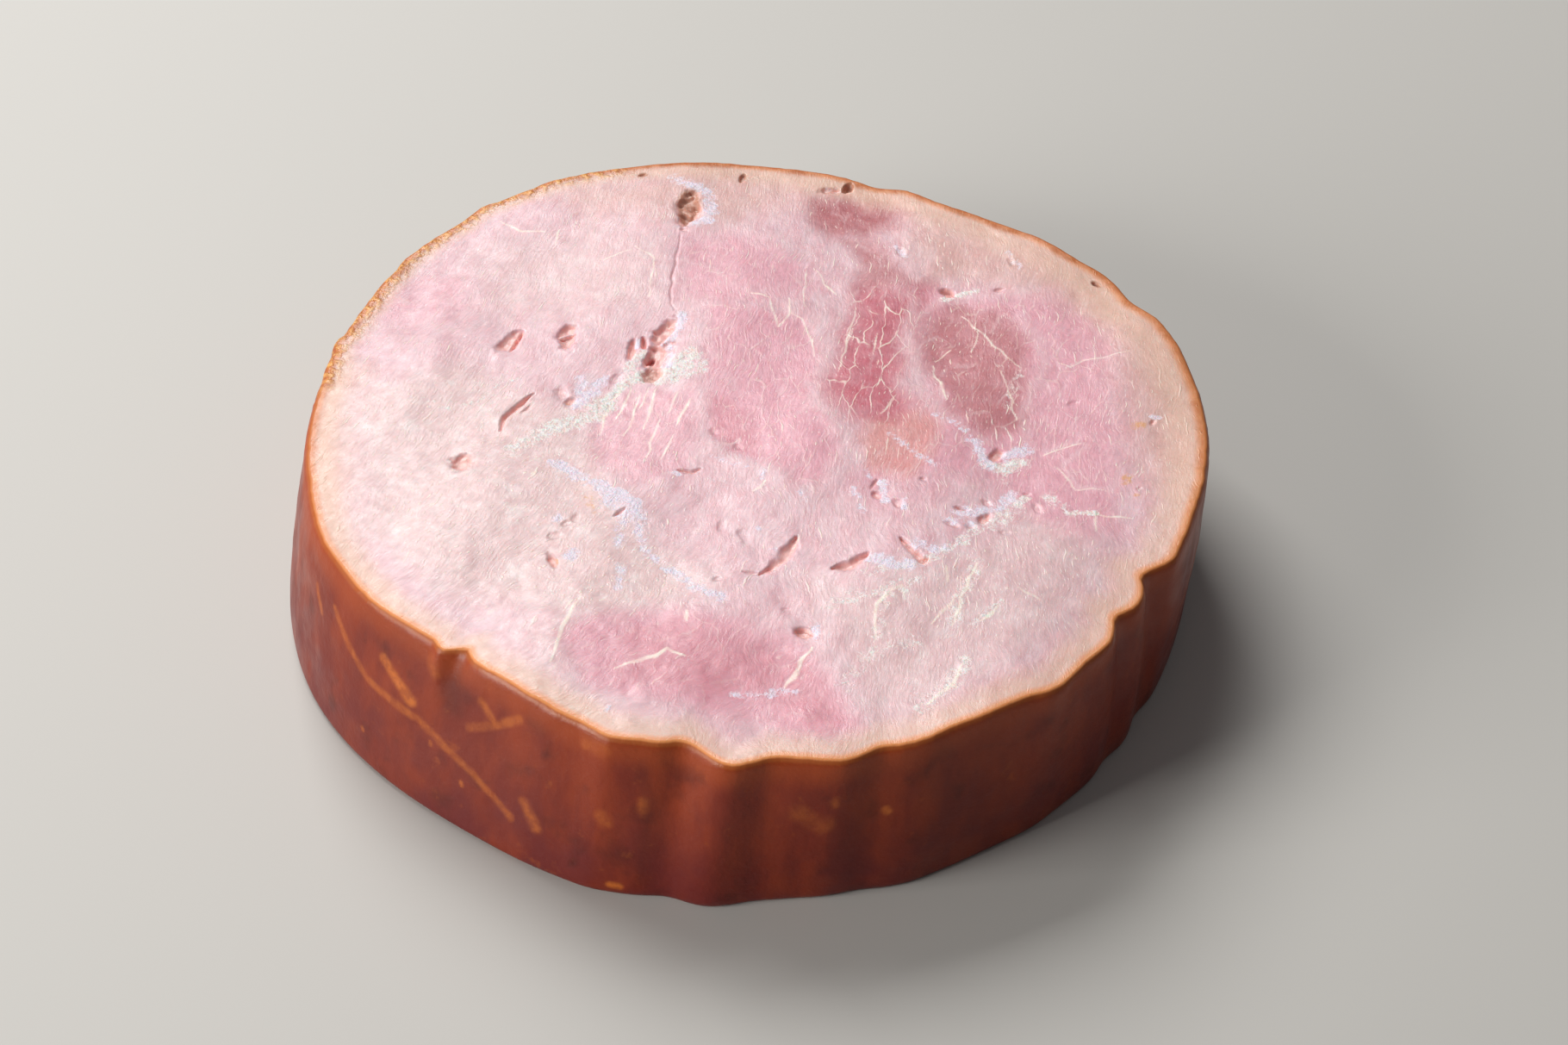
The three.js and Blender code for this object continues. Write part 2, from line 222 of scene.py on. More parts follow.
# Thin lilac-white skin between the muscles: path, width, amount
FILMS = (
    (((-33.8, -7.4), (-30.3, -10.1), (-27.2, -12), (-23.8, -14.6), (-19.9, -17.3)), 2.2, 0.95),
    (((-26, -14), (-22.6, -17.8), (-20.6, -20)), 4.6, 0.8),
    (((-19.9, -17.3), (-22.3, -21.7), (-22.6, -27)), 1.8, 0.6),
    (((-21.9, -31.8), (-22.2, -37.2)), 1.6, 0.6),
    (((-19.8, -20), (-18.3, -27.9), (-15, -31.8), (-12, -34.3), (-9.4, -37.2), (-5.5, -39.3)), 1.7, 0.75),
    (((-15.9, 24), (-15.4, 21), (-15.9, 18.6)), 2.2, 1),
    (((-13.6, 31.5), (-13.9, 27.5), (-15, 24.5)), 1.5, 0.9),
    (((-21.1, 22.6), (-20.9, 24.6)), 0.9, 0.9),
    (((-30.4, 14.8), (-30.6, 11)), 1.8, 0.6),
    (((-30.9, 7.6), (-28.7, 10.2), (-26.5, 14.6)), 2.2, 0.8),
    (((-15.5, 69.8), (-12.6, 67.9), (-10, 66.1), (-8.9, 61.9), (-9.5, 58.6), (-12, 57)), 2.4, 0.7),
    (((36.2, -1.6), (37.2, -5.4), (38.4, -7.4)), 2, 0.9),
    (((41.4, -5), (44.7, -3.6)), 2.6, 0.9),
    (((29.7, 5), (32.6, 3.4), (34.1, 1.5), (36.6, -0.9)), 0.8, 0.6),
    (((33, -19.4), (36.4, -19.2), (39, -18.4), (42, -14.6)), 2.4, 0.7),
    (((30.6, -21.4), (33, -22.4), (35, -22.4)), 1.4, 0.6),
    (((18.6, -30.8), (21.4, -32), (24.6, -32.2)), 2.6, 0.8),
    (((25.8, -27.4), (28.4, -29), (29.6, -28)), 2.6, 0.7),
    (((20.4, -12.4), (21, -14.5), (20.8, -16.9)), 1.6, 0.9),
    (((23.9, -16.5), (23.8, -18.7)), 1, 0.7),
    (((17.8, -9.4), (18.6, -11)), 1, 0.5),
    (((-0.2, -60.4), (-3.9, -60)), 1.4, 0.55),
    (((1.6, -59.9), (4, -59.2), (6, -59.8)), 1.5, 0.6),
    (((9.2, -45.6), (9.4, -48.1)), 1.2, 0.8),
    (((24.4, 50.6), (25.8, 47.4)), 1.4, 0.6),
    (((44.2, 48.5), (45.9, 44.5)), 1.6, 0.5),
    (((12, 67.6), (14.4, 67.8)), 1.2, 0.5),
    (((66.1, 4.2), (67.9, 4.2)), 0.9, 0.6),
    (((0.2, -23.5), (0.3, -22.8)), 1.3, 0.7),
    (((2.7, -28.2), (2.8, -27.8)), 1.1, 1),
    (((-32.8, -21.3), (-32.7, -20.8)), 1.4, 0.9),
    (((-30.2, -29.9), (-30, -29.4)), 2.2, 0.8),
    (((-23, -64), (-22.8, -63.8)), 1.2, 1),
    (((-13.8, -9.6), (-13, -10.4)), 0.9, 0.6),
    (((21.7, -0.1), (26.7, -5.5), (29.7, -7.8)), 1.1, 0.45),
    (((1.2, -9.6), (0.4, -11.4)), 0.9, 0.6),
    (((-8.6, -5.4), (-4.2, -7.6), (0.8, -10)), 0.9, 0.4),
    (((15.9, -13.5), (17.3, -19.5)), 0.8, 0.6),
    (((6.7, -14.3), (8.2, -16.5)), 0.8, 0.4),
)

# Fine pale threads on the upper face: path and width
THREADS = (
    (((1.7, 35.9), (2.2, 33), (3.3, 27.8), (5.2, 31.8), (5.2, 35.6)), 0.45),
    (((5.2, 31.8), (7.5, 30.1), (8.6, 26.1), (9.5, 19.9)), 0.4),
    (((-1.8, 36.6), (1.7, 35.9)), 0.35),
    (((8.4, 44.8), (7.8, 38.7), (7.8, 33.2)), 0.3),
    (((17.1, 33.2), (15.2, 25.2), (14.9, 21.5), (13.5, 16.2)), 0.4),
    (((10, 43.8), (11.6, 39.7), (13.7, 36.8)), 0.4),
    (((35.3, 31.8), (38.2, 28), (40.4, 23.4), (45, 17.1)), 0.45),
    (((38.2, 28), (36.9, 21.7)), 0.3),
    (((29.6, 18.3), (30.9, 12.6), (31.8, 9)), 0.5),
    (((30.1, 19.4), (33.5, 22.7)), 0.35),
    (((51.4, 18.3), (53.4, 16.9), (55.9, 18.7), (59.9, 19.9), (63.9, 21)), 0.35),
    (((41.1, 16.4), (42.7, 9.7), (43.5, 3.9)), 0.4),
    (((16.3, 28), (15.2, 23.4), (13.9, 17.1)), 0.3),
    (((20.6, 26.4), (20.1, 21.7)), 0.35),
    (((-23.5, 13), (-25.6, 6.1), (-26.6, 0.2)), 0.5),
    (((-21.8, 12.2), (-23.9, 4.6)), 0.45),
    (((-20.2, 11), (-22.4, -0.3)), 0.5),
    (((-18.8, 12.4), (-20.2, 6.6)), 0.45),
    (((-17.5, 11.9), (-19.2, 1.6)), 0.6),
    (((-13.9, 11.2), (-15.2, 5.4)), 0.45),
    (((-11.6, 9.1), (-13.8, 2.4)), 0.6),
    (((-16.6, 3.7), (-18.9, -7)), 0.5),
    (((-14.3, -0.3), (-16, -6.6)), 0.5),
    (((23.3, 9.9), (20.9, 4.5)), 0.45),
    (((1.2, -12), (0.4, -13.6), (-0.8, -14.6)), 0.7),
    (((35.4, -31.8), (32.3, -40.4), (30.8, -45.6)), 0.8),
    (((31.7, -39), (27.5, -45.6)), 0.6),
    (((38.3, -41.4), (35.1, -45.1)), 0.6),
    (((30.3, -32.3), (30.5, -36.2)), 0.6),
    (((23.7, -40), (22.8, -37.1), (21.1, -38.1), (18.7, -41.4), (18.9, -48.9)), 0.7),
    (((32.1, -54.4), (30.3, -58.9), (26.3, -62.9)), 0.8),
    (((-46.8, 57.8), (-43, 55.1), (-38.6, 55.1)), 0.5),
    (((-36.1, 55.6), (-36.8, 51.6)), 0.4),
    (((-22.7, 50.8), (-18.7, 47), (-19.6, 36.1)), 0.35),
    (((-28, 47), (-22.7, 49.5)), 0.3),
    (((-27.9, -38.2), (-30.5, -47), (-32, -54.3)), 0.8),
    (((-21.7, -55.1), (-19.6, -54.2), (-15.9, -52.5), (-13.8, -50.7), (-11.3, -52.5)), 0.8),
    (((-10.9, -42.4), (-10.9, -44.6)), 0.8),
    (((8.4, -50.3), (6, -55.9), (4.4, -58.5)), 0.8),
    (((47.7, -5.1), (51.1, -3.2), (54.3, -2.4)), 0.35),
    (((49.6, -7.8), (51, -10.1), (52.5, -13.5), (57, -13.9)), 0.3),
    (((54.9, -19.8), (61.1, -21)), 0.5),
    (((54.9, -19.5), (54.8, -23.9)), 0.5),
    (((41.8, -37.6), (45, -40)), 0.6),
)

# Muscles of other colours: mask, outline, amount, softness of the outline in mm
MUSCLES = (
    ("pale", ((-52, 50), (-30, 56), (-18, 50), (-17, 36), (-30, 30), (-46, 32)), 0.5, 7),
    ("pale", ((-70, 8), (-52, 18), (-30, 6), (-24, -12), (-18, -24), (-6, -36), (-14, -42), (-30, -44),
              (-48, -40), (-64, -24)), 0.9, 5),
    ("pale", ((8, -36), (22, -34), (34, -28), (46, -18), (56, -30), (50, -46), (36, -58), (18, -66),
              (14, -54)), 0.6, 5),
    ("pale", ((-40, -44), (-28, -44), (-30, -58), (-20, -66), (-8, -68), (-14, -72), (-34, -64)), 0.5, 4),
    ("tan", ((58, 44), (72, 22), (74, 0), (70, -20), (62, -8), (62, 10), (58, 24), (48, 38)), 0.55, 7),
    ("tan", ((28, 62), (58, 42), (50, 34), (40, 40), (30, 42), (26, 52)), 0.55, 5),
    ("tan", ((-40, 66), (-10, 74), (16, 72), (30, 64), (8, 62), (-8, 58), (-30, 60)), 0.55, 6),
    ("tan", ((-78, 20), (-68, 16), (-67, -6), (-66, -26), (-56, -42), (-64, -50), (-78, -24)), 0.7, 4),
    ("rose", ((-9, 34), (0, 33), (7, 30), (10, 20), (9, 8), (13, -4), (10, -12), (2, -8), (-5, -5), (-9, 2),
              (-9, 20)), 0.85, 2),
    ("rose", ((-14, 54), (-2, 54), (8, 48), (12, 38), (4, 34), (-8, 34), (-15, 36), (-15, 46)), 0.7, 3),
    ("rose", ((-27, 8), (-20, 13), (-11, 11), (-9, 0), (-12, -8), (-20, -13), (-27, -9), (-29, 0)), 0.6, 2),
    ("rose", ((-68, 38), (-58, 43), (-51, 40), (-52, 32), (-62, 27), (-69, 31)), 0.45, 4),
    ("rose", ((28, 38), (50, 38), (60, 26), (60, 10), (62, -6), (58, -24), (48, -24), (40, -12), (30, -10),
              (16, -12), (28, 2), (30, 20)), 0.75, 4),
    ("rose", ((12, -14), (22, -20), (32, -14), (30, -8), (18, -9)), 0.4, 3),
    ("rose", ((-28, -44), (-12, -41), (-2, -44), (8, -50), (13, -58), (16, -68), (6, -70), (-4, -65),
              (-16, -62), (-27, -58), (-31, -50)), 0.85, 2.5),
    ("dusty", ((29, 31), (35, 35), (43, 33), (47, 26), (46, 18), (44, 10), (45, 2), (38, 0), (32, 6),
               (31, 14), (28, 22)), 0.85, 3),
    ("dusty", ((9.5, 64), (15, 65.5), (22, 65), (26, 62), (24, 57), (19, 53), (13, 54), (9, 58)), 1, 3),
    ("dusty", ((14, 54), (20, 54), (24, 48), (29, 40), (18, 38), (18, 46)), 0.8, 3),
    ("deep", ((17, 38), (30, 39), (28, 32), (25, 25), (25.5, 19), (24.5, 13), (27.5, 8), (24, 3), (17, 3),
              (13, 8), (11, 14), (12.5, 20), (15, 28)), 0.95, 3.4),
    ("deep", ((-8, 10), (-4, 8), (-1, 0), (0, -5), (-4, -5), (-8, 0)), 0.4, 1.6),
    ("deep", ((-22, -46), (-10, -44), (-1, -48), (8, -53), (11, -59), (14, -66), (8, -68), (2, -61),
              (-8, -60), (-20, -58)), 0.35, 3),
    ("salmon", ((21, 5), (27, 7), (30, 2), (28.5, -5), (24.5, -10), (19, -8), (17, -2), (18, 3)), 0.75, 1.8),
)

# Small spots: mask, middle x, y, half length, half width, turn in degrees, amount, softness
SPOTS = (
    ("tan", -28, -16, 4, 2.4, -60, 0.8, 0.6),
    ("brown", -12.9, 61.6, 5.2, 2.3, 84, 1, 0.2),
    # Painted shadow on the lower slope of the middle pit cluster
    ("brown", -18.2, 15.8, 2.4, 1.6, 60, 0.6, 0.5),
    ("brown", 16, 68.4, 1.9, 1.2, 60, 1, 0.2),
    ("brown", 12.6, 67.4, 2.2, 1, 8, 0.4, 0.4),
    ("brown", -3.3, 70.9, 1.4, 0.7, 70, 1, 0.3),
    ("brown", 59.4, 39.9, 1.2, 0.7, 128, 1, 0.3),
    ("brown", -21.7, 71.2, 1, 0.7, 20, 1, 0.3),
    ("amber", 60.9, -11.4, 0.9, 1.5, 0, 0.8, 0.5),
    ("amber", 64.3, 2.2, 2.2, 1.2, 10, 0.9, 0.5),
    ("amber", 62.5, -15.4, 0.7, 0.7, 0, 0.7, 0.5),
    ("amber", -27.4, -17.5, 3, 1, -70, 0.5, 0.6),
    ("amber", -32.6, -31, 1.2, 0.7, -60, 0.6, 0.5),
    ("amber", -31.8, 8.4, 1.2, 0.8, 0, 0.6, 0.5),
)
COLOUR_MASKS = ("pale", "tan", "rose", "dusty", "salmon", "deep", "brown", "amber")

# Width in mm of the warm band inside the rim, and how brown its outer edge is, every 30 degrees from +X
RIM_BANDS = (6.5, 7.5, 6, 5, 3.2, 3, 4, 4, 4.4, 4.4, 4.6, 5.5)
RIM_BROWNS = (0.5, 0.8, 0.9, 0.9, 1, 1, 0.8, 0.1, 0, 0, 0, 0.1)

# Part of the rim with fat beads, and how far they fade past its ends, in degrees
BEADED_RIM = (112, 168)
BEAD_FADE = 6

# Radius at which lengths of arc round the rind are counted
RIND_RADIUS = 75.0

# Marks on the rind: path of (angle in degrees, height), width, amount
RIND_STREAKS = (
    (((207, 23), (210.5, 19.6), (215.5, 16.5), (224.5, 15.6), (234.5, 12), (241, 8)), 1.4, 0.6),
    (((217.5, 22), (220, 20.2), (223.2, 18)), 1.9, 1),
    (((225, 27), (226, 25.5)), 2.4, 0.5),
    (((233.5, 25), (236.5, 22.4), (239.8, 25.6)), 1.5, 0.6),
    (((236.5, 22.4), (232.5, 19.5)), 1.5, 0.5),
    (((242.5, 12.2), (244.8, 8.4)), 2, 0.6),
    (((201.8, 22.3), (204, 19)), 1.2, 0.6),
    (((249.5, 27.4), (252, 27.8)), 2.6, 0.7),
    (((257.5, 19.6), (257.6, 18)), 2, 0.5),
    (((252.8, 15.5), (253.4, 14.5)), 2.4, 0.4),
    (((276, 19.5), (279, 17)), 3.4, 0.35),
    (((286.4, 17.8), (286.7, 17.2)), 1.4, 0.8),
    (((279.8, 21.8), (280, 21.2)), 1.6, 0.5),
    (((255, 2.2), (256.2, 2)), 1.4, 1),
    (((216, 6.9), (216.2, 6.5)), 0.8, 0.7),
    (((227.2, 13), (227.4, 12.6)), 0.8, 0.7),
    (((233, 9.3), (233.2, 8.9)), 0.8, 0.7),
    (((20, 24), (32, 17), (44, 14)), 1.6, 0.4),
    (((70, 9), (82, 16), (90, 24)), 1.4, 0.4),
    (((120, 22), (126, 18)), 2, 0.5),
    (((150, 8), (160, 12), (172, 20)), 1.4, 0.4),
    (((340, 12), (350, 18)), 1.6, 0.4),
)
# Dark marks on the rind, in the same form. The first, under the nick at about 228 degrees, is painted shade of
# the dent there; the rest are darker marks
RIND_STAINS_AND_SHADE = (
    (((228.5, 27.5), (229, 22)), 5, 0.5),
    (((244.5, 23), (244.8, 22)), 1.8, 0.6),
    (((250.2, 5.3), (250.4, 4.6)), 1.6, 0.7),
    (((250, 9), (251, 8)), 2.2, 0.4),
    (((257, 26), (258.5, 18), (258.5, 4)), 2.4, 0.35),
    (((40, 8), (48, 12)), 4, 0.4),
    (((100, 18), (110, 12)), 5, 0.4),
    (((180, 8), (186, 14)), 4, 0.3),
)

# Share of its listed depth that a pit or crack gets, and of its listed width that a thread reaches to each side
PIT_SHARE = 0.6
THREAD_SHARE = 0.65

# Cells of the mesh across a face, and rows up the wall at each edge and between the edges
FACE_CELLS = 92
EDGE_ROWS = 5
WALL_ROWS = 18

# How far each finer step of the mesh reaches round the upper face's features and the rind's streaks, in mm.
# The first takes in the whole upper face, and the last leaves out the streaks
FINE_REACHES = ((1000.0, 1.2), (0.8, 0.6), (0.3, -math.inf))

# Rows closer than this count as the same, and the noise repeats after this many cells
ROW_MARGIN = 0.001
NOISE_CELLS = 97


# Numbers

def step_up(low, high, value):
    """0 below low, 1 above high, and a smooth step between them."""
    share = np.clip((value - low) / (high - low), 0, 1)
    return share * share * (3 - 2 * share)


def smooth_ring(values, angle):
    """A smooth closed curve through values at even steps of a full turn."""
    values = np.asarray(values, float)
    place = angle / (2 * math.pi) * len(values)
    index = np.floor(place).astype(int)
    share = place - index
    a, b, c, d = (values[(index + step) % len(values)] for step in (-1, 0, 1, 2))
    cubic = 3 * (b - c) + d - a
    square = 2 * a - 5 * b + 4 * c - d
    return b + 0.5 * share * (c - a + share * (square + share * cubic))


def lumps(x, y, size, seed):
    """Smooth random heights from -1 to 1, about size apart."""
    lattice = np.random.default_rng(seed).uniform(-1, 1, (NOISE_CELLS, NOISE_CELLS))
    u, v = x / size, y / size
    i, j = np.floor(u).astype(int), np.floor(v).astype(int)
    s, t = u - i, v - j
    s, t = s * s * (3 - 2 * s), t * t * (3 - 2 * t)
    i0, i1, j0, j1 = i % NOISE_CELLS, (i + 1) % NOISE_CELLS, j % NOISE_CELLS, (j + 1) % NOISE_CELLS
    near = lattice[i0, j0] * (1 - s) + lattice[i1, j0] * s
    far = lattice[i0, j1] * (1 - s) + lattice[i1, j1] * s
    return near * (1 - t) + far * t


def oval_distance(x, y, middle_x, middle_y, half_length, half_width, turn):
    """0 in the middle of a turned oval and 1 on its edge."""
    turn = math.radians(turn)
    along = (x - middle_x) * math.cos(turn) + (y - middle_y) * math.sin(turn)
    across = (y - middle_y) * math.cos(turn) - (x - middle_x) * math.sin(turn)
    return np.hypot(along / half_length, across / half_width)


def path_distance(x, y, path):
    """Distance to a path of straight pieces, and the share of the way along it at the nearest point."""
    best = np.full(x.shape, np.inf)
    place = np.zeros(x.shape)
    for step, ((ax, ay), (bx, by)) in enumerate(zip(path, path[1:])):
        dx, dy = bx - ax, by - ay
        share = np.clip(((x - ax) * dx + (y - ay) * dy) / (dx * dx + dy * dy), 0, 1)
        distance = np.hypot(x - ax - share * dx, y - ay - share * dy)
        nearer = distance < best
        best = np.where(nearer, distance, best)
        place = np.where(nearer, (step + share) / (len(path) - 1), place)
    return best, place


def outline_depth(x, y, outline):
    """How far a point lies inside a closed outline, and below 0 outside it."""
    inside = np.zeros(x.shape, bool)
    closed = outline + outline[:1]
    for (ax, ay), (bx, by) in zip(closed, closed[1:]):
        if ay != by:
            inside ^= ((ay > y) != (by > y)) & (x < ax + (y - ay) * (bx - ax) / (by - ay))
    distance, _ = path_distance(x, y, closed)
    return np.where(inside, distance, -distance)


# The slice's surface

def rind_radius(angle, up):
    """Radius of the rind at an angle and a share of the height: 0 at the foot, 1 at the rim."""
    radius = smooth_ring(RIM_RADII, angle) + FLARE * (1 - up) + BELLY * np.sin(math.pi * up)
    for at, half, rim, foot, fade in RIND_SWELLS:
        off = (np.degrees(angle) - at + 180) % 360 - 180
        radius = radius + (foot + (rim - foot) * up ** fade) * np.exp(-((off / half) ** 2))
    return radius


def face_wave(x, y):
    """Height of the low waves at a point of the upper face."""
    height = np.zeros(x.shape)
    for size, length, turn, phase in FACE_WAVES:
        along = x * math.cos(math.radians(turn)) + y * math.sin(math.radians(turn))
        height += size * np.sin(2 * math.pi * along / length + phase)
    return height


def pit_depth(x, y):
    """Depth of the pits and cracks at a point of the upper face."""
    ragged = 0.2 * lumps(x, y, 1.4, 11) + 0.14 * lumps(x, y, 0.7, 12)
    depth = np.zeros(x.shape)
    for middle_x, middle_y, length, width, deep, turn in PITS + SMALL_PITS:
        out = oval_distance(x, y, middle_x, middle_y, length / 2, width / 2, turn) + ragged
        depth = np.maximum(depth, deep * step_up(1.15, 0.45, out))
    wander_x, wander_y = 0.3 * lumps(x, y, 1.9, 14), 0.3 * lumps(x, y, 1.9, 15)
    for path, width, deep in CRACKS + FINE_CRACKS:
        distance, place = path_distance(x + wander_x, y + wander_y, path)
        reach = width / 2 * np.sqrt(np.sin(math.pi * np.clip(place, 0.03, 0.97))) * (1 + 0.8 * ragged)
        depth = np.maximum(depth, deep * step_up(1.2, 0.1, distance / reach))
    for path, width, share in TONGUES:
        distance, _ = path_distance(x, y, path)
        depth = depth * (1 - share * step_up(1.3, 0.5, distance / (width / 2) + ragged))
    return PIT_SHARE * depth * (1 + 0.25 * lumps(x, y, 0.9, 13))


def feature_gap(x, y):
    """How far a point of the upper face lies outside the nearest pit, crack or thread, in mm."""
    gap = np.full(x.shape, np.inf)
    for middle_x, middle_y, length, width, _, turn in PITS + SMALL_PITS:
        out = oval_distance(x, y, middle_x, middle_y, length / 2, width / 2, turn)
        gap = np.minimum(gap, (out - 1) * width / 2)
    for path, width, _ in CRACKS + FINE_CRACKS:
        gap = np.minimum(gap, path_distance(x, y, path)[0] - width / 2)
    for path, width in THREADS:
        gap = np.minimum(gap, path_distance(x, y, path)[0] - width / 4)
    return gap


def band(x, y, strands, seed, ragged):
    """How much of a point lies in any of the strands, each with soft sides that are more or less ragged."""
    amount = np.zeros(x.shape)
    uneven = 1 + ragged * (0.4 * lumps(x, y, 3.0, seed) + 0.3 * lumps(x, y, 1.2, seed + 1))
    for path, width, strength in strands:
        distance, _ = path_distance(x, y, path)
        amount = np.maximum(amount, strength * step_up(1.5, 0.3, distance / (width / 2 * uneven)))
    return amount


def threads(x, y):
    """How much of a point lies in the fine threads, which wander and taper towards their ends."""
    amount = np.zeros(x.shape)
    wander_x, wander_y = 0.35 * lumps(x, y, 2.2, 21), 0.35 * lumps(x, y, 2.2, 22)
    for path, width in THREADS:
        distance, place = path_distance(x + wander_x, y + wander_y, path)
        taper = 0.45 + 0.55 * np.sin(math.pi * place)
        amount = np.maximum(amount, step_up(1.0, 0.3, distance / (THREAD_SHARE * width * taper)))
    return amount * (0.75 + 0.35 * lumps(x, y, 1.5, 23))


def tint(x, y, mask):
    """How much of one of the masks a point has, from the muscles and spots of that colour."""
    amount = np.zeros(x.shape)
    uneven = 1.2 * lumps(x, y / 1.6, 6.0, 31) + 0.7 * lumps(x, y / 1.8, 2.4, 32) + 0.3 * lumps(x, y, 1.0, 33)
    for name, outline, strength, softness in MUSCLES:
        if name == mask:
            depth = outline_depth(x, y, outline) + uneven
            amount = np.maximum(amount, strength * step_up(-softness, softness, depth))
    for name, middle_x, middle_y, half_length, half_width, turn, strength, softness in SPOTS:
        if name == mask:
            out = oval_distance(x, y, middle_x, middle_y, half_length, half_width, turn) + 0.2 * uneven
            amount = np.maximum(amount, strength * step_up(1 + softness / 2, 1 - softness, out))
    return amount


def nominal_slice():
    """The closed slice as a plain drum of unit radius, whose Z counts the rows up its wall."""
    rows = 2 * EDGE_ROWS + WALL_ROWS
    steps = np.linspace(-1, 1, FACE_CELLS + 1)
    bm = bmesh.new()

    def disc(row):
        return [
            [bm.verts.new((u * math.sqrt(1 - v * v / 2), v * math.sqrt(1 - u * u / 2), row)) for v in steps]
            for u in steps
        ]

    def border(grid):
        last = FACE_CELLS
        front = [grid[i][0] for i in range(last)]
        right = [grid[last][j] for j in range(last)]
        back = [grid[i][last] for i in range(last, 0, -1)]
        left = [grid[0][j] for j in range(last, 0, -1)]
        return front + right + back + left

    under, over = disc(0), disc(rows)
    for i in range(FACE_CELLS):
        for j in range(FACE_CELLS):
            bm.faces.new((over[i][j], over[i + 1][j], over[i + 1][j + 1], over[i][j + 1]))
            bm.faces.new((under[i][j], under[i][j + 1], under[i + 1][j + 1], under[i + 1][j]))
    rings = [border(under)]
    for row in range(1, rows):
        rings.append([bm.verts.new((vert.co.x, vert.co.y, row)) for vert in rings[0]])
    rings.append(border(over))
    for low, high in zip(rings, rings[1:]):
        for k in range(len(low)):
            after = (k + 1) % len(low)
            bm.faces.new((low[k], low[after], high[after], high[k]))
    return bm, rows


def on_rind(strands):
    """The rind's strands with their angles turned into mm of arc."""
    per_degree = RIND_RADIUS * math.pi / 180
    return [([(at * per_degree, up) for at, up in path], width, amount) for path, width, amount in strands]


def streak_gap(arc, z):
    """How far a point of the rind lies outside the nearest streak, in mm."""
    gap = np.full(arc.shape, np.inf)
    for path, width, _ in on_rind(RIND_STREAKS):
        gap = np.minimum(gap, path_distance(arc, z, path)[0] - width / 2)
    return gap


def ends(row, rows):
    """Which rows are those of the upper face, and which are those of the underside."""
    return row > rows - ROW_MARGIN, row < ROW_MARGIN


def refine(bm, rows):
    """Halves the cells of the upper face, then those near its features, and those near the rind's streaks."""
    heights = wall_profile(rows)[1]
    for reach, streak_reach in FINE_REACHES:
        middles = np.array([face.calc_center_median() for face in bm.faces])
        angle = np.arctan2(middles[:, 1], middles[:, 0]) % (2 * math.pi)
        share = np.hypot(middles[:, 0], middles[:, 1])
        radius = share * rind_radius(angle, np.ones(angle.shape))
        over, under = ends(middles[:, 2], rows)
        gap = feature_gap(radius * np.cos(angle), radius * np.sin(angle))
        z = np.interp(middles[:, 2], np.arange(rows + 1), heights)
        near_streak = ~under & (streak_gap(angle * RIND_RADIUS, z) < streak_reach)
        chosen = np.where(over, gap < reach, near_streak)
        edges = {edge for face, take in zip(bm.faces, chosen) if take for edge in face.edges}
        bmesh.ops.subdivide_edges(bm, edges=list(edges), cuts=1, use_grid_fill=True)
    bmesh.ops.triangulate(bm, faces=[face for face in bm.faces if len(face.verts) > 4])


def wall_profile(rows):
    """How far out of the rim's radius each row of the wall stands, and its height."""
    out = np.full(rows + 1, EDGE_INSET)
    height = np.linspace(0, THICKNESS, rows + 1)
    for row in range(EDGE_ROWS + 1):
        bend = row / EDGE_ROWS * math.pi / 2
        out[row] = out[rows - row] = EDGE_INSET * math.sin(bend)
        height[row] = EDGE_HEIGHT * (1 - math.cos(bend))
        height[rows - row] = THICKNESS - height[row]
    height[EDGE_ROWS:rows - EDGE_ROWS + 1] = np.linspace(EDGE_HEIGHT, THICKNESS - EDGE_HEIGHT, WALL_ROWS + 1)
    return out, height


